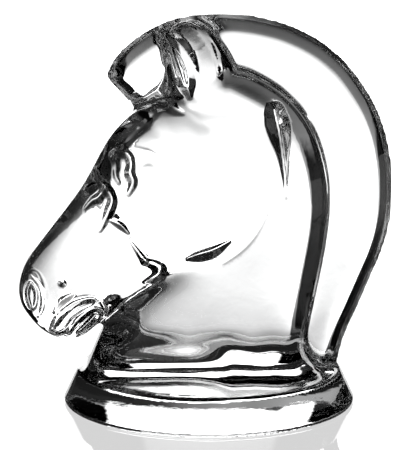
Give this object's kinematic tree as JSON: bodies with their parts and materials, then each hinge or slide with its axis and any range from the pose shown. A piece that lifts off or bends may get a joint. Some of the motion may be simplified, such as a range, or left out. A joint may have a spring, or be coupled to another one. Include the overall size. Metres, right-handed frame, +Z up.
{
  "type": "crystal horse head figurine",
  "caption": "Solid clear crystal horse head with pricked ears and a smooth arched mane, like a chess knight, cast in one with a round sloping foot that stands on a shelf.",
  "frame": {"origin": "centre of the round foot's flat underside, on the surface that it stands on", "axes": "+Z up; the horse looks along -X; the halves of the mould part on the plane y = 0, so +Y is the horse's right side"},
  "size_m": [0.1338, 0.105, 0.1399],
  "materials": {
    "crystal": "clear, fire-polished"
  },
  "bodies": {
    "root": {"horse_head": "crystal"}
  },
  "joints": []
}
